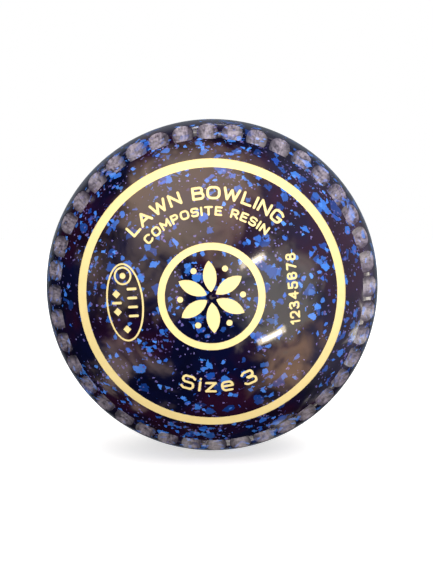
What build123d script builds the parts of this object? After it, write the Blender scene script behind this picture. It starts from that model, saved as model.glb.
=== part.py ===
"""A size 3 lawn bowl: core, speckled shell and the enamel fills of its engraving.

The axle of the turned shape lies along Y. The non-bias face, with the large ring, looks towards -Y,
and the bias face, with the small ring, towards +Y. The origin is the centre of the running crown.
Each face's artwork is drawn flat, as it is read from outside, and then turned to its own side.
"""
from build123d import *

import math
import os
from collections import namedtuple

# The turned shape, in millimetres and degrees. Angles are the surface normal's, from the crown plane.
CROWN_DIAMETER = 122.2
FACE_HEIGHT = 54.7
BIAS_FACE_HEIGHT = 55.9
SOLE_RADIUS = 66.0
SOLE_ANGLE = 17.0
SHOULDER_RADIUS = 32.0
SHELL_THICKNESS = 12.0

# The grip: troughs milled along the meridian, square at the inner end and running out on the sole.
GRIP_COUNT = 40
GRIP_PHASE = 1.6
GRIP_CUTTER_RADIUS = 8.0
GRIP_DEPTH = 0.7
GRIP_INNER_ANGLE = 41.0
GRIP_OUTER_ANGLE = 19.0
GRIP_RUN_OUT = 6.0

# The engraving and its enamel.
GROOVE_DEPTH = 0.6
ENAMEL_RECESS = 0.15
ARTWORK_TURN = 4.8

# The non-bias face. The large ring keeps its distance inside the grip, and the upper legend its
# distance outside the lower one.
LARGE_RING_TO_GRIP = 6.9
LARGE_RING_WIDTH = 3.1
CENTRE_RING_RADIUS = 17.2
CENTRE_RING_WIDTH = 2.35
EMBLEM_RADIUS = 11.6
LOWER_LEGEND_BASELINE = 25.7
LEGEND_LINE_GAP = 2.1
SIZE_MARK_BASELINE = 31.9
SERIAL_BASELINE = 28.0

# The oval stamp: its place, its outline and the grid of marks inside it.
STAMP_OFFSET = 28.1
STAMP_LENGTH = 25.6
STAMP_WIDTH = 12.7
STAMP_OUTLINE_WIDTH = 0.65
STAMP_COLUMN = 2.65
STAMP_ROW = 2.9
STAMP_CIRCLE_RADIUS = 3.0
STAMP_DOT_RADIUS = 1.0
STAMP_DIAMOND_SIDE = 2.0
STAMP_BAR_LENGTH = 3.4
STAMP_BAR_WIDTH = 0.9

# The bias face.
BIAS_RING_RADIUS = 26.5
BIAS_RING_WIDTH = 3.0
BIAS_EMBLEM_RADIUS = 19.5
BIAS_LEGEND_BASELINE = 32.6
BIAS_SIZE_MARK_BASELINE = 38.0

# The rosette's petals and dots, as shares of its own radius: it is cut in two sizes.
PETAL_START_SHARE = 0.14
PETAL_WIDTH_SHARE = 0.37
DOT_PLACE_SHARE = 0.86
DOT_RADIUS_SHARE = 0.085

Side = namedtuple("Side", "shoulder_centre shoulder_angle face_centre face_radius face_height")
Stroke = namedtuple("Stroke", "points corner")
Loop = namedtuple("Loop", "low high corner")
Glyph = namedtuple("Glyph", "width marks")
Lettering = namedtuple("Lettering", "height stroke stretch gap word_gap")

# Overall height with the stroke, stroke width, sideways stretch, and clear gaps between letters and words.
UPPER_LEGEND = Lettering(height=4.4, stroke=0.88, stretch=1.4, gap=0.65, word_gap=3.6)
LOWER_LEGEND = Lettering(height=3.1, stroke=0.72, stretch=1.3, gap=0.5, word_gap=2.7)
SIZE_MARK = Lettering(height=5.2, stroke=0.85, stretch=1.4, gap=1.2, word_gap=3.0)
SERIAL_NUMBER = Lettering(height=3.5, stroke=0.7, stretch=1.05, gap=0.6, word_gap=2.0)

# Letters on a cap height of one: open strokes with one corner radius, and closed rounded loops.
SPINE = Stroke([(0, 0), (0, 1)], 0)
UPPER_BOWL = Stroke([(0, 1), (0.62, 1), (0.62, 0.45), (0, 0.45)], 0.27)
GLYPHS = {
    "A": Glyph(0.8, [Stroke([(0, 0), (0.4, 1), (0.8, 0)], 0), Stroke([(0.13, 0.32), (0.67, 0.32)], 0)]),
    "B": Glyph(0.66, [
        SPINE,
        Stroke([(0, 1), (0.6, 1), (0.6, 0.54), (0, 0.54)], 0.22),
        Stroke([(0, 0.51), (0.66, 0.51), (0.66, 0), (0, 0)], 0.25)]),
    "C": Glyph(0.68, [Stroke([(0.68, 0.84), (0.52, 1), (0, 1), (0, 0), (0.52, 0), (0.68, 0.16)], 0.33)]),
    "E": Glyph(0.58, [Stroke([(0.58, 1), (0, 1), (0, 0), (0.58, 0)], 0), Stroke([(0, 0.53), (0.5, 0.53)], 0)]),
    "G": Glyph(0.7, [
        Stroke([(0.66, 0.84), (0.5, 1), (0, 1), (0, 0), (0.66, 0), (0.66, 0.42)], 0.3),
        Stroke([(0.38, 0.44), (0.7, 0.44)], 0)]),
    "I": Glyph(0.0, [SPINE]),
    "L": Glyph(0.58, [Stroke([(0, 1), (0, 0), (0.58, 0)], 0)]),
    "M": Glyph(0.84, [Stroke([(0, 0), (0, 1), (0.42, 0.3), (0.84, 1), (0.84, 0)], 0)]),
    "N": Glyph(0.68, [Stroke([(0, 0), (0, 1), (0.68, 0), (0.68, 1)], 0)]),
    "O": Glyph(0.76, [Loop((0, 0), (0.76, 1), 0.37)]),
    "P": Glyph(0.62, [SPINE, UPPER_BOWL]),
    "R": Glyph(0.66, [SPINE, UPPER_BOWL, Stroke([(0.3, 0.45), (0.66, 0)], 0)]),
    "S": Glyph(0.62, [Stroke([(0.62, 0.86), (0.5, 1), (0, 1), (0, 0.51), (0.62, 0.51), (0.62, 0), (0.12, 0),
                              (0, 0.14)], 0.24)]),
    "T": Glyph(0.7, [Stroke([(0, 1), (0.7, 1)], 0), Stroke([(0.35, 1), (0.35, 0)], 0)]),
    "W": Glyph(1.0, [Stroke([(0, 1), (0.26, 0), (0.5, 0.9), (0.74, 0), (1.0, 1)], 0)]),
    "e": Glyph(0.56, [
        Stroke([(0, 0.35), (0.56, 0.35)], 0),
        Stroke([(0.56, 0.35), (0.56, 0.68), (0, 0.68), (0, 0), (0.5, 0)], 0.27)]),
    "i": Glyph(0.0, [Stroke([(0, 0), (0, 0.68)], 0), Stroke([(0, 0.94), (0, 0.96)], 0)]),
    "z": Glyph(0.5, [Stroke([(0, 0.68), (0.5, 0.68), (0, 0), (0.5, 0)], 0)]),
    "1": Glyph(0.24, [Stroke([(0, 0.78), (0.24, 1), (0.24, 0)], 0)]),
    "2": Glyph(0.6, [
        Stroke([(0, 0.74), (0, 1), (0.6, 1), (0.6, 0.46), (0, 0)], 0.24),
        Stroke([(0, 0), (0.6, 0)], 0)]),
    "3": Glyph(0.64, [
        Stroke([(0, 0.86), (0.12, 1), (0.58, 1), (0.58, 0.56), (0.24, 0.56)], 0.2),
        Stroke([(0.3, 0.47), (0.64, 0.47), (0.64, 0), (0.12, 0), (0, 0.14)], 0.22)]),
    "4": Glyph(0.68, [Stroke([(0.5, 0), (0.5, 1), (0, 0.3)], 0), Stroke([(0, 0.3), (0.68, 0.3)], 0)]),
    "5": Glyph(0.6, [
        Stroke([(0.55, 1), (0.05, 1), (0.05, 0.58)], 0),
        Stroke([(0.05, 0.58), (0.6, 0.58), (0.6, 0), (0, 0), (0, 0.24)], 0.2)]),
    "6": Glyph(0.6, [
        Stroke([(0.56, 0.74), (0.56, 1), (0, 1), (0, 0.3)], 0.25),
        Loop((0, 0), (0.6, 0.58), 0.28)]),
    "7": Glyph(0.58, [Stroke([(0, 1), (0.58, 1), (0.2, 0)], 0)]),
    "8": Glyph(0.6, [Loop((0.04, 0.54), (0.56, 1), 0.22), Loop((0, 0), (0.6, 0.51), 0.25)]),
}


def off_circle(centre, radius, angle):
    """Point (axial, radial) at a radius from a centre, where the normal leans at the angle."""
    lean = math.radians(angle)
    return centre[0] + radius * math.sin(lean), centre[1] + radius * math.cos(lean)


def sole_centre():
    return 0.0, CROWN_DIAMETER / 2 - SOLE_RADIUS


def turned_side(face_height):
    """Tangent chain of one side: the sole's arc, the shoulder's arc, then a dome centred on the axle."""
    sole_end = off_circle(sole_centre(), SOLE_RADIUS, SOLE_ANGLE)
    shoulder_centre = off_circle(sole_end, -SHOULDER_RADIUS, SOLE_ANGLE)
    rest = face_height - SHOULDER_RADIUS
    away = shoulder_centre[0] ** 2 + shoulder_centre[1] ** 2
    face_centre = (rest ** 2 - away) / (2 * (rest - shoulder_centre[0]))
    shoulder_angle = math.degrees(math.atan2(shoulder_centre[0] - face_centre, shoulder_centre[1]))
    return Side(shoulder_centre, shoulder_angle, (face_centre, 0.0), face_height - face_centre, face_height)


NON_BIAS = turned_side(FACE_HEIGHT)
BIAS = turned_side(BIAS_FACE_HEIGHT)


def surface_point(side, angle, inset=0.0):
    """Point (axial, radial) on the turned surface, or that far under it, at a normal's angle."""
    if angle < SOLE_ANGLE:
        return off_circle(sole_centre(), SOLE_RADIUS - inset, angle)
    if angle < side.shoulder_angle:
        return off_circle(side.shoulder_centre, SHOULDER_RADIUS - inset, angle)
    return off_circle(side.face_centre, side.face_radius - inset, angle)


def turned_body(inset):
    """The whole turned shape, parallel to its outside at the inset, with its axle along Y."""
    def place(side, angle):
        axial, radial = surface_point(side, angle, inset)
        return radial, axial if side is BIAS else -axial

    def arc(side, start, end):
        middle = (start + end) / 2
        return ThreePointArc(place(side, start), place(side, middle), place(side, end))

    outline = [ThreePointArc(place(NON_BIAS, SOLE_ANGLE), place(BIAS, 0), place(BIAS, SOLE_ANGLE))]
    for side in (NON_BIAS, BIAS):
        outline.append(arc(side, SOLE_ANGLE, side.shoulder_angle))
        outline.append(arc(side, side.shoulder_angle, 90))
    outline.append(Line(place(NON_BIAS, 90), place(BIAS, 90)))
    return revolve(make_face(outline), Axis.Y)


def to_side(side, shape):
    """Turn a shape that was drawn facing +Z, upright in Y, to its own side of the bowl."""
    shape = Rot(90, 0, 0) * shape
    return Rot(0, 0, 180) * shape if side is BIAS else shape


def grip_cutters(side):
    """One milling cutter for each trough: a cylinder along the chord from its inner end to its run-out."""
    inner = Vector(*surface_point(side, GRIP_INNER_ANGLE, GRIP_DEPTH))
    outer = Vector(*surface_point(side, GRIP_OUTER_ANGLE))
    chord = (outer - inner).normalized()
    outward = Vector(-chord.Y, chord.X)
    if outward.Y < 0:
        outward = -outward
    base = inner + outward * GRIP_CUTTER_RADIUS
    start = Plane(origin=(0, base.Y, base.X), x_dir=(1, 0, 0), z_dir=(0, chord.Y, chord.X))
    length = (outer - inner).length + GRIP_RUN_OUT
    cutter = start * Cylinder(GRIP_CUTTER_RADIUS, length, align=(Align.CENTER, Align.CENTER, Align.MIN))
    pitch = 360 / GRIP_COUNT
    return [to_side(side, Rot(0, 0, GRIP_PHASE + index * pitch) * cutter) for index in range(GRIP_COUNT)]


def stroke_face(mark, style):
    """One pen stroke of a letter as a flat face with round ends, on the pen's own centre line."""
    height = style.height - style.stroke
    if isinstance(mark, Loop):
        width = (mark.high[0] - mark.low[0]) * height * style.stretch
        depth = (mark.high[1] - mark.low[1]) * height
        corner = mark.corner * height
        outer = RectangleRounded(width + style.stroke, depth + style.stroke, corner + style.stroke / 2)
        inner = RectangleRounded(width - style.stroke, depth - style.stroke, corner - style.stroke / 2)
        across = (mark.low[0] + mark.high[0]) / 2 * height * style.stretch
        return Pos(across, (mark.low[1] + mark.high[1]) / 2 * height) * (outer - inner)
    points = [(x * height * style.stretch, y * height) for x, y in mark.points]
    if mark.corner:
        line = FilletPolyline(*points, radius=mark.corner * height)
    else:
        line = Polyline(*points)
    return make_face(Wire(line.edges()).offset_2d(style.stroke / 2, kind=Kind.ARC).edges())


def letter_width(character, style):
    return GLYPHS[character].width * (style.height - style.stroke) * style.stretch + style.stroke


def letter(character, style):
    """A letter that stands on y = 0 with its width centred on x = 0."""
    face = Sketch() + [stroke_face(mark, style) for mark in GLYPHS[character].marks]
    return Pos((style.stroke - letter_width(character, style)) / 2, style.stroke / 2) * face


def letter_places(text, style):
    """Each letter with the distance of its middle from the middle of the text."""
    cursor = 0.0
    places = []
    for character in text:
        if character == " ":
            cursor += style.word_gap - style.gap
            continue
        width = letter_width(character, style)
        places.append((character, cursor + width / 2))
        cursor += width + style.gap
    middle = (cursor - style.gap) / 2
    return [(character, place - middle) for character, place in places]


def text_over(text, style, baseline):
    """Text on an arch above the axle, its letters standing outwards from the baseline's radius."""
    faces = []
    for character, place in letter_places(text, style):
        turn = math.degrees(place / (baseline + style.height / 2))
        faces.append(Rot(0, 0, -turn) * Pos(0, baseline) * letter(character, style))
    return faces


def text_under(text, style, baseline):
    """Text on an arch below the axle, its letters standing inwards from the baseline's radius."""
    faces = []
    for character, place in letter_places(text, style):
        turn = math.degrees(place / (baseline - style.height / 2))
        faces.append(Rot(0, 0, turn) * Pos(0, -baseline) * letter(character, style))
    return faces


def text_upwards(text, style, baseline):
    """Text in a straight column that reads upwards, its baseline at x = baseline."""
    faces = []
    for character, place in letter_places(text, style):
        faces.append(Pos(baseline, place) * Rot(0, 0, 90) * letter(character, style))
    return faces


def ring(radius, width):
    return [Circle(radius) - Circle(radius - width)]


def rosette(radius):
    """Six petals, each the overlap of two circles, with a dot between neighbours and one in the middle."""
    petal_start = radius * PETAL_START_SHARE
    petal_length = radius - petal_start
    petal_width = radius * PETAL_WIDTH_SHARE
    arc_radius = (petal_length ** 2 / 4 + petal_width ** 2 / 4) / petal_width
    shift = arc_radius - petal_width / 2
    middle = petal_start + petal_length / 2
    petal = (Pos(shift, middle) * Circle(arc_radius)) & (Pos(-shift, middle) * Circle(arc_radius))
    dot = Pos(0, radius * DOT_PLACE_SHARE) * Circle(radius * DOT_RADIUS_SHARE)
    faces = []
    for index in range(6):
        faces.append(Rot(0, 0, index * 60) * petal)
        faces.append(Rot(0, 0, index * 60 + 30) * dot)
    return faces


def stamp_outline():
    outer = Ellipse(STAMP_WIDTH / 2, STAMP_LENGTH / 2)
    inner = Ellipse(STAMP_WIDTH / 2 - STAMP_OUTLINE_WIDTH, STAMP_LENGTH / 2 - STAMP_OUTLINE_WIDTH)
    return [Pos(-STAMP_OFFSET, 0) * (outer - inner)]


def stamp_marks():
    """Plain marks inside the oval: a ringed dot on top, a diamond at the foot, and two columns between."""
    circle = Circle(STAMP_CIRCLE_RADIUS) - Circle(STAMP_CIRCLE_RADIUS - STAMP_OUTLINE_WIDTH)
    ringed_dot = circle + Circle(STAMP_DOT_RADIUS)
    diamond = Rot(0, 0, 45) * Rectangle(STAMP_DIAMOND_SIDE, STAMP_DIAMOND_SIDE)
    bar = SlotOverall(STAMP_BAR_LENGTH, STAMP_BAR_WIDTH)
    marks = [Pos(0, 3 * STAMP_ROW) * ringed_dot, Pos(0, -3 * STAMP_ROW) * diamond]
    for row, mark in ((1, diamond), (0, bar), (-1, diamond)):
        marks.append(Pos(-STAMP_COLUMN, row * STAMP_ROW) * mark)
    for row in (1.5, 0.5, -0.5, -1.5):
        marks.append(Pos(STAMP_COLUMN, row * STAMP_ROW) * bar)
    return [Pos(-STAMP_OFFSET, 0) * mark for mark in marks]


def non_bias_artwork():
    grip_radius = surface_point(NON_BIAS, GRIP_INNER_ANGLE)[1]
    upper_baseline = LOWER_LEGEND_BASELINE + LOWER_LEGEND.height + LEGEND_LINE_GAP
    return {
        "large_ring_fill": ring(grip_radius - LARGE_RING_TO_GRIP, LARGE_RING_WIDTH),
        "centre_ring_fill": ring(CENTRE_RING_RADIUS, CENTRE_RING_WIDTH),
        "emblem_fill": rosette(EMBLEM_RADIUS),
        "upper_legend_fill": text_over("LAWN BOWLING", UPPER_LEGEND, upper_baseline),
        "lower_legend_fill": text_over("COMPOSITE RESIN", LOWER_LEGEND, LOWER_LEGEND_BASELINE),
        "size_mark_fill": text_under("Size 3", SIZE_MARK, SIZE_MARK_BASELINE),
        "serial_number_fill": text_upwards("12345678", SERIAL_NUMBER, SERIAL_BASELINE),
        "stamp_outline_fill": stamp_outline(),
        "stamp_marks_fill": stamp_marks(),
    }


def bias_artwork():
    return {
        "bias_ring_fill": ring(BIAS_RING_RADIUS, BIAS_RING_WIDTH),
        "bias_emblem_fill": rosette(BIAS_EMBLEM_RADIUS),
        "bias_legend_fill": text_over("LAWN BOWLING", UPPER_LEGEND, BIAS_LEGEND_BASELINE),
        "bias_size_mark_fill": text_under("Size 3", SIZE_MARK, BIAS_SIZE_MARK_BASELINE),
    }


def groove_tools(side, faces, floor):
    """Solids that cut the grooves: the artwork's prisms down to the groove's floor."""
    reach = side.face_height + GROOVE_DEPTH
    tools = []
    for face in faces:
        prism = extrude(Rot(0, 0, ARTWORK_TURN) * face, amount=reach)
        tools.append(to_side(side, prism) - floor)
    return tools


def build():
    """Every piece of the bowl by its node's name."""
    core = turned_body(SHELL_THICKNESS)
    groove_floor = turned_body(GROOVE_DEPTH)
    enamel_top = turned_body(ENAMEL_RECESS)
    shell = turned_body(0) - core
    pieces = {"moulded_core": core}
    for side, artwork in ((NON_BIAS, non_bias_artwork()), (BIAS, bias_artwork())):
        shell -= grip_cutters(side)
        for node, faces in artwork.items():
            tools = groove_tools(side, faces, groove_floor)
            shell -= tools
            pieces[node] = Compound(children=[solid for tool in tools for solid in (tool & enamel_top).solids()])
    pieces["speckled_shell"] = shell
    return pieces


if __name__ == "__main__":
    os.makedirs("parts", exist_ok=True)
    for node, shape in build().items():
        export_step(shape, f"parts/{node}.step")
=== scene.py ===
"""Looks for a lawn bowl: polished speckled resin, milled grips and cream enamel in the engraving."""

import math

import bpy
from mathutils import Matrix, Vector


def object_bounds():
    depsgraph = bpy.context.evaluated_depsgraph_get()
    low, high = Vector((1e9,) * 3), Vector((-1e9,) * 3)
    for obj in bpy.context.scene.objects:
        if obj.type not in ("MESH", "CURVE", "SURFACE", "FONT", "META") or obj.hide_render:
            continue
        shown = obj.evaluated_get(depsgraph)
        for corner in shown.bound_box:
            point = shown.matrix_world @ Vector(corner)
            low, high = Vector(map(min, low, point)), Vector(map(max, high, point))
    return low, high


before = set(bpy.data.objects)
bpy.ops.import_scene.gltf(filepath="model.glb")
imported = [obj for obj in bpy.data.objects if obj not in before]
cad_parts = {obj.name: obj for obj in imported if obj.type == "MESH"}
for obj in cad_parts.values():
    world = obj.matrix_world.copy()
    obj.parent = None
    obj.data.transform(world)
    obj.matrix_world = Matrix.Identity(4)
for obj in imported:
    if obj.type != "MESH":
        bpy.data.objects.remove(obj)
cad_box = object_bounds()
MM = 0.001


def linear(hex_colour):
    """An sRGB hex colour as linear red, green and blue, with an alpha of one."""
    channels = [int(hex_colour[i:i + 2], 16) / 255 for i in (1, 3, 5)]
    return tuple(c / 12.92 if c <= 0.04045 else ((c + 0.055) / 1.055) ** 2.4 for c in channels) + (1.0,)


def add(tree, kind, settings=None, inputs=None):
    """Adds a node with its settings; each input is a plain value or another node's output to link."""
    node = tree.nodes.new(kind)
    for name, value in (settings or {}).items():
        setattr(node, name, value)
    for name, value in (inputs or {}).items():
        if isinstance(value, bpy.types.NodeSocket):
            tree.links.new(value, node.inputs[name])
        else:
            node.inputs[name].default_value = value
    return node


def calculate(tree, operation, first, second=0.0, third=0.0, clamp=False):
    """One step of arithmetic on values or sockets."""
    settings = {"operation": operation, "use_clamp": clamp}
    return add(tree, "ShaderNodeMath", settings, {0: first, 1: second, 2: third}).outputs[0]


def vector(tree, operation, first, second=(0.0, 0.0, 0.0), third=(0.0, 0.0, 0.0)):
    return add(tree, "ShaderNodeVectorMath", {"operation": operation}, {0: first, 1: second, 2: third})


def ramp(tree, value, low, high, to_low=0.0, to_high=1.0, smooth=False):
    """A value's share of the way from low to high, held at both ends."""
    settings = {"interpolation_type": "SMOOTHSTEP"} if smooth else {}
    inputs = {"Value": value, "From Min": low, "From Max": high, "To Min": to_low, "To Max": to_high}
    return add(tree, "ShaderNodeMapRange", settings, inputs).outputs[0]


def noise(tree, place, size, detail=2.0, roughness=0.5, distortion=0.0):
    """Noise whose largest lumps are about the given size in metres."""
    inputs = {"Vector": place, "Scale": 1 / size, "Detail": detail, "Roughness": roughness,
              "Distortion": distortion}
    return add(tree, "ShaderNodeTexNoise", {}, inputs)


def mix_colour(tree, factor, first, second):
    node = add(tree, "ShaderNodeMix", {"data_type": "RGBA"}, {0: factor, 6: first, 7: second})
    return node.outputs[2]


def object_place(tree):
    return add(tree, "ShaderNodeTexCoord").outputs["Object"]


def principled(name, **settings):
    """A material with one Principled shader whose even finish is set on its own sockets."""
    material = bpy.data.materials.new(name)
    material.use_nodes = True
    tree = material.node_tree
    shader = tree.nodes["Principled BSDF"]
    for socket, value in settings.items():
        shader.inputs[socket.replace("_", " ")].default_value = value
    return material, tree, shader


# ---------------------------------------------------------------- the resin's speckle

# Each layer: cell mm, share of cells that are chips, ragged edge mm, darker colour, lighter colour.
CHIP_LAYERS = (
    (3.2, 0.035, 1.0, "#0d2a6a", "#1c4c9e"),
    (2.2, 0.055, 0.9, "#123f98", "#3f83e2"),
    (1.3, 0.038, 0.5, "#1d55bc", "#4f8eec"),
    (0.8, 0.018, 0.35, "#38346f", "#726ab0"),
    (0.5, 0.020, 0.2, "#463e78", "#8279b4"),
)


def chip_layer(tree, place, colour, clumps, index, layer):
    """Flakes: one in a share of Voronoi cells of a real size, more of them where the mix clumped."""
    cell, share, ragged, dark, light = layer
    wobble = noise(tree, place, ragged * MM * 0.7, detail=1.0)
    pushed = vector(tree, "MULTIPLY_ADD", wobble.outputs["Color"], (ragged * MM,) * 3, place)
    moved = vector(tree, "ADD", pushed.outputs[0], (0.13 * index, -0.07 * index, 0.05 * index))
    cells = add(tree, "ShaderNodeTexVoronoi", {}, {"Vector": moved.outputs[0], "Scale": 1 / (cell * MM)})
    lottery = add(tree, "ShaderNodeSeparateColor", {}, {"Color": cells.outputs["Color"]})
    limit = calculate(tree, "MULTIPLY", clumps, share)
    chosen = calculate(tree, "LESS_THAN", lottery.outputs[0], limit)
    depth = ramp(tree, lottery.outputs[1], 0.0, 0.6, 0.35, 1.0)
    flake = mix_colour(tree, lottery.outputs[2], linear(dark), linear(light))
    return mix_colour(tree, calculate(tree, "MULTIPLY", chosen, depth), colour, flake)


def speckle(tree):
    """The resin's colour through its depth: marbled navy and maroon, then five sizes of flake."""
    place = object_place(tree)
    cloud = noise(tree, place, 30 * MM, detail=3.0, roughness=0.6, distortion=0.6)
    shade = noise(tree, place, 12 * MM, detail=4.0, roughness=0.65)
    colour = mix_colour(tree, ramp(tree, cloud.outputs[0], 0.45, 0.58), linear("#060928"), linear("#240a22"))
    colour = mix_colour(tree, ramp(tree, shade.outputs[0], 0.40, 0.66, 0.0, 0.7), colour, linear("#04040c"))
    lumps = noise(tree, place, 13 * MM, detail=2.0, roughness=0.6)
    clumps = ramp(tree, lumps.outputs[0], 0.40, 0.60, 0.2, 2.1)
    for index, layer in enumerate(CHIP_LAYERS):
        colour = chip_layer(tree, place, colour, clumps, index, layer)
    return colour


# ---------------------------------------------------------------- the grip's finish

# The turned shoulder's round, and for the face towards -Y and the face towards +Y the inner end of the
# grip's floor: all in mm, along the axle and out from it. Each floor runs outwards along its chord.
SHOULDER_RADIUS = 32.0
SHOULDER_CENTRE = (9.94, 27.61)
GRIP_STARTS = ((30.76, 50.99), (32.64, 49.49))
GRIP_END = (20.36, 57.87)
GRIP_COUNT = 40
GRIP_PHASE = 1.6


def root_of_squares(tree, first, second):
    squares = [calculate(tree, "POWER", value, 2.0) for value in (first, second)]
    return calculate(tree, "SQRT", calculate(tree, "ADD", *squares))


def grip_run(tree, along, across, start):
    """Distance out along one side's grip from the wall at its inner end."""
    chord = Vector(GRIP_END) - Vector(start)
    chord.normalize()
    rise = calculate(tree, "MULTIPLY", calculate(tree, "SUBTRACT", along, start[0] * MM), chord[0])
    return calculate(tree, "MULTIPLY_ADD", calculate(tree, "SUBTRACT", across, start[1] * MM), chord[1], rise)


def grip_finish(tree):
    """The grip's milled area, a pattern of milling lines that run outwards along each trough, and a painted
    highlight across each trough, strongest at its centre.

    Only a trough's floor lies under the shoulder's round, so the milled area is read from the depth under
    that round. It also begins only 0.25 to 0.6 mm out from each trough's inner wall, which leaves a strip of
    painted shade along that wall.
    """
    place = add(tree, "ShaderNodeSeparateXYZ", {}, {"Vector": object_place(tree)}).outputs
    across = root_of_squares(tree, place[0], place[2])
    along = calculate(tree, "ABSOLUTE", place[1])
    radius = root_of_squares(tree, calculate(tree, "SUBTRACT", across, SHOULDER_CENTRE[1] * MM),
                             calculate(tree, "SUBTRACT", along, SHOULDER_CENTRE[0] * MM))
    depth = calculate(tree, "SUBTRACT", SHOULDER_RADIUS * MM, radius)
    bias_side = calculate(tree, "GREATER_THAN", place[1], 0.0)
    runs = [grip_run(tree, along, across, start) for start in GRIP_STARTS]
    run = add(tree, "ShaderNodeMix", {}, {0: bias_side, 2: runs[0], 3: runs[1]}).outputs[0]
    # Painted shade: the milky haze starts only 0.25 to 0.6 mm out from each trough's inner wall, so a dark
    # strip stays beside it.
    grip_mask_with_wall_shade = calculate(tree, "MULTIPLY", ramp(tree, depth, 0.04 * MM, 0.12 * MM),
                     ramp(tree, run, 0.25 * MM, 0.6 * MM))
    turn = calculate(tree, "ARCTAN2", place[0], place[2])
    around = calculate(tree, "MULTIPLY", turn, 55 * MM)
    share = calculate(tree, "MULTIPLY_ADD", turn, GRIP_COUNT / math.tau, GRIP_PHASE * GRIP_COUNT / 360 + 0.5)
    from_middle = calculate(tree, "SUBTRACT", calculate(tree, "FLOORED_MODULO", share, 1.0), 0.5)
    off_middle = calculate(tree, "ABSOLUTE", from_middle)
    # Painted highlight: full at each trough's centre, fading to none towards its sides, to brighten the milk
    # there.
    painted_trough_highlight = ramp(tree, off_middle, 0.10, 0.42, 1.0, 0.0, smooth=True)
    sheet = add(tree, "ShaderNodeCombineXYZ", {}, {0: around, 1: calculate(tree, "MULTIPLY", run, 0.18),
                                                  2: calculate(tree, "MULTIPLY", bias_side, 0.5)}).outputs[0]
    lines = noise(tree, sheet, 0.7 * MM, detail=3.0, roughness=0.6)
    return grip_mask_with_wall_shade, lines.outputs[0], painted_trough_highlight


def speckled_resin():
    """Polished melamine resin: dark and speckled under a clear skin, and milky where the grip was milled,
    with a painted highlight that makes the milk brightest along each trough's centre.
    """
    material, tree, shader = principled("polished melamine resin", IOR=1.6)
    grip, lines, painted_trough_highlight = grip_finish(tree)
    blooms = noise(tree, object_place(tree), 2.2 * MM, detail=2.0)
    milk = ramp(tree, calculate(tree, "MULTIPLY", calculate(tree, "ADD", lines, blooms.outputs[0]), 0.5),
                0.38, 0.62, 0.05, 0.60)
    # The painted highlight scales the milk: full along each trough's centre, a fifth of that at its sides.
    milk = calculate(tree, "MULTIPLY", milk, calculate(tree, "MULTIPLY_ADD", painted_trough_highlight, 0.8, 0.2))
    # The milk is mixed in over the milled area, so this colour carries the painted shade by each inner wall
    # and the painted highlight at each trough's centre.
    colour = mix_colour(tree, calculate(tree, "MULTIPLY", grip, milk), speckle(tree), linear("#cbc0d0"))
    tree.links.new(colour, shader.inputs["Base Color"])
    tree.links.new(ramp(tree, grip, 0.0, 1.0, 0.07, 0.34), shader.inputs["Roughness"])
    bump = add(tree, "ShaderNodeBump", {}, {"Height": calculate(tree, "MULTIPLY", lines, grip),
                                            "Distance": 0.05 * MM, "Strength": 0.8})
    tree.links.new(bump.outputs[0], shader.inputs["Normal"])
    return material


def cream_enamel():
    """Cream enamel cured in the engraving: warm, opaque and gently glossy, with a few pinholes whose shade is
    painted as small darker tan dots.
    """
    material, tree, shader = principled("cream enamel", Roughness=0.38, IOR=1.5)
    place = object_place(tree)
    mottle = noise(tree, place, 3.0 * MM, detail=3.0)
    colour = mix_colour(tree, mottle.outputs[0], linear("#f0d894"), linear("#fbe6a4"))
    pits = add(tree, "ShaderNodeTexVoronoi", {}, {"Vector": place, "Scale": 1 / (1.3 * MM)})
    lottery = add(tree, "ShaderNodeSeparateColor", {}, {"Color": pits.outputs["Color"]})
    # Painted shade: a few small pinholes are shown only as darker tan dots, with no hollow in the surface.
    size = calculate(tree, "MULTIPLY", calculate(tree, "LESS_THAN", lottery.outputs[0], 0.22), 0.11)
    pinhole_shade = calculate(tree, "MULTIPLY", ramp(tree, pits.outputs["Distance"], size, 0.0), 0.5)
    colour = mix_colour(tree, pinhole_shade, colour, linear("#a8874e"))
    tree.links.new(colour, shader.inputs["Base Color"])
    return material


def core_resin():
    """The as-moulded core, hidden under the shell: plain matt black."""
    return principled("moulded phenolic core", Base_Color=linear("#141416"), Roughness=0.6)[0]


def dress(node, material):
    """Gives a CAD node its material in every slot of its object."""
    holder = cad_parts[node]
    if not holder.material_slots:
        holder.data.materials.append(material)
    for slot in holder.material_slots:
        slot.material = material


shell_material = speckled_resin()
enamel_material = cream_enamel()
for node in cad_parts:
    dress(node, enamel_material)
dress("speckled_shell", shell_material)
dress("moulded_core", core_resin())


# ---------------------------------------------------------------- camera, floor and light

CAMERA_DISTANCE = 0.340
CAMERA_AZIMUTH = 0.2
CAMERA_ELEVATION = 4.22
CAMERA_LENS = 75.3
CAMERA_SHIFT = (0.0100, -0.0093)


def direction(azimuth, elevation):
    """Unit vector from the bowl: azimuth 0 points to -Y, positive towards +X; both in degrees."""
    turn, rise = math.radians(azimuth), math.radians(elevation)
    return Vector((math.sin(turn) * math.cos(rise), -math.cos(turn) * math.cos(rise), math.sin(rise)))


def place_camera():
    """The camera, in front of the large-ring face and a little above the axle, looking at its middle."""
    camera = bpy.data.objects.new("camera", bpy.data.cameras.new("camera"))
    bpy.context.scene.collection.objects.link(camera)
    camera.data.sensor_fit = "HORIZONTAL"
    camera.data.sensor_width = 36.0
    camera.data.lens = CAMERA_LENS
    camera.data.shift_x, camera.data.shift_y = CAMERA_SHIFT
    camera.data.clip_start = 0.01
    aim = direction(CAMERA_AZIMUTH, CAMERA_ELEVATION)
    camera.location = aim * CAMERA_DISTANCE
    camera.rotation_euler = aim.to_track_quat("Z", "Y").to_euler()
    bpy.context.scene.camera = camera


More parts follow.
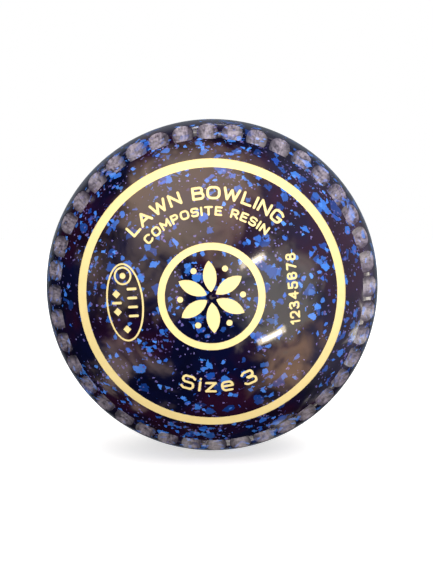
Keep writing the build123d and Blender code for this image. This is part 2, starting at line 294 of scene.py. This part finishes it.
def panel(name, azimuth, elevation, width, height, power, colour, roll=0.0, distance=1.0):
    """A flat light that faces the bowl from a direction, with its long side rolled out of level."""
    light = bpy.data.objects.new(name, bpy.data.lights.new(name, "AREA"))
    bpy.context.scene.collection.objects.link(light)
    light.data.shape = "RECTANGLE"
    light.data.size = width
    light.data.size_y = height
    light.data.energy = power
    light.data.color = linear(colour)[:3]
    aim = direction(azimuth, elevation)
    turn = aim.to_track_quat("Z", "Y").to_matrix().to_4x4() @ Matrix.Rotation(math.radians(roll), 4, "Z")
    turn.translation = aim * distance
    light.matrix_world = turn
    return light


FLOOR_HALF_WIDTH = 3.0


def make_floor():
    """Plain pale paper under the bowl. It shows to the camera but puts no light on the bowl."""
    half = FLOOR_HALF_WIDTH
    bottom = cad_box[0][2]
    mesh = bpy.data.meshes.new("floor")
    corners = [(-half, -half), (half, -half), (half, half), (-half, half)]
    mesh.from_pydata([(x, y, bottom) for x, y in corners], [], [(0, 1, 2, 3)])
    floor = bpy.data.objects.new("floor", mesh)
    bpy.context.scene.collection.objects.link(floor)
    paper, _, _ = principled("floor paper", Base_Color=linear("#d8d8d8"), Roughness=0.9,
                             Emission_Color=linear("#ffffff"), Emission_Strength=0.62)
    mesh.materials.append(paper)
    floor.visible_glossy = False
    floor.visible_shadow = False
    floor.visible_diffuse = False


# What the polish reflects of the room: azimuth, elevation, spread in degrees, softness, colour, strength.
ROOM = (
    (80, 12, 75, 0.5, "#8d8496", 1.6),
    (180, 10, 55, 0.4, "#8a929c", 0.7),
    (-26, 56, 46, 0.24, "#a8927e", 8.5),
    (-62, 6, 30, 0.20, "#a8927e", 3.2),
    (60, -40, 27, 0.16, "#a88668", 8.5),
    (-72, -46, 24, 0.14, "#a08a80", 5.0),
    (26, 16, 13, 0.06, "#b8a890", 3.0),
    (40, -26, 13, 0.06, "#b8a890", 4.5),
    (36, -2, 34, 0.16, "#c8c0b0", 3.8),
    (-38, 4, 26, 0.12, "#a8927e", 4.0),
    (176, 62, 14, 0.08, "#f4ece8", 7.0),
    (124, 34, 11, 0.06, "#f4ece8", 6.0),
    (118, -12, 12, 0.06, "#f8f0e4", 5.0),
    (136, -52, 11, 0.16, "#f8f0e4", 4.5),
    (-178, -62, 13, 0.16, "#f4ece8", 4.5),
    (-128, 40, 10, 0.06, "#e8e4ec", 3.5),
)


# How far the noise bends the edges of the reflected patches, and the side that the soft daylight is on.
PATCH_WARP = 0.5
DAYLIGHT = (14, 62)


def make_world():
    """White behind the bowl, the room's patches in its polish, and soft daylight from above on the rest."""
    world = bpy.data.worlds.new("studio")
    bpy.context.scene.world = world
    world.use_nodes = True
    tree = world.node_tree
    background = tree.nodes["Background"]
    path = add(tree, "ShaderNodeLightPath")
    ray = add(tree, "ShaderNodeTexCoord").outputs["Generated"]
    streaky = noise(tree, ray, 0.35, detail=4.0, roughness=0.6, distortion=0.8)
    room = linear("#1c1a1c")
    for azimuth, elevation, spread, softness, colour, strength in ROOM:
        facing = vector(tree, "DOT_PRODUCT", ray, tuple(direction(azimuth, elevation))).outputs["Value"]
        bend = calculate(tree, "SUBTRACT", streaky.outputs[0], 0.5)
        warped = calculate(tree, "MULTIPLY_ADD", bend, PATCH_WARP, facing)
        edge = math.cos(math.radians(spread))
        patch = ramp(tree, warped, edge, edge + softness, smooth=True)
        tone = tuple(channel * strength for channel in linear(colour)[:3]) + (1.0,)
        room = mix_colour(tree, patch, room, tone)
    lit_side = vector(tree, "DOT_PRODUCT", ray, tuple(direction(*DAYLIGHT))).outputs["Value"]
    ambient = mix_colour(tree, ramp(tree, lit_side, -0.6, 0.8, smooth=True), linear("#1c1c24"),
                         linear("#fafaff"))
    seen = mix_colour(tree, path.outputs["Is Glossy Ray"], ambient, room)
    seen = mix_colour(tree, path.outputs["Is Camera Ray"], seen, linear("#ffffff"))
    tree.links.new(seen, background.inputs["Color"])
    background.inputs["Strength"].default_value = 1.0


# Warm tubes that the polish shows as two streaks: name, azimuth, elevation and roll. Each is a bright core
# within a wider glow: length, width and power.
TUBES = (("upper tube", 24.4, 15.6, 20), ("lower tube", 38.6, -27.0, 32))
TUBE_CORE_AND_GLOW = ((0.20, 0.022, 0.9), (0.30, 0.07, 0.8))
# Soft light on the enamel and the grips, not seen in the polish: name, azimuth, elevation and power.
SOFT_PANELS = (("soft key", 24, 54, 14), ("front fill", 0, -14, 17), ("back fill", 180, 30, 14))
SOFT_WIDTH = 1.2

place_camera()
make_floor()
make_world()
for name, azimuth, elevation, roll in TUBES:
    for width, height, power in TUBE_CORE_AND_GLOW:
        tube = panel(name, azimuth, elevation, width, height, power, "#fff0d4", roll)
        tube.visible_diffuse = False
for name, azimuth, elevation, power in SOFT_PANELS:
    soft = panel(name, azimuth, elevation, SOFT_WIDTH, SOFT_WIDTH, power, "#fffaf0", distance=1.5)
    soft.visible_glossy = False
bpy.context.scene.view_settings.view_transform = "Standard"
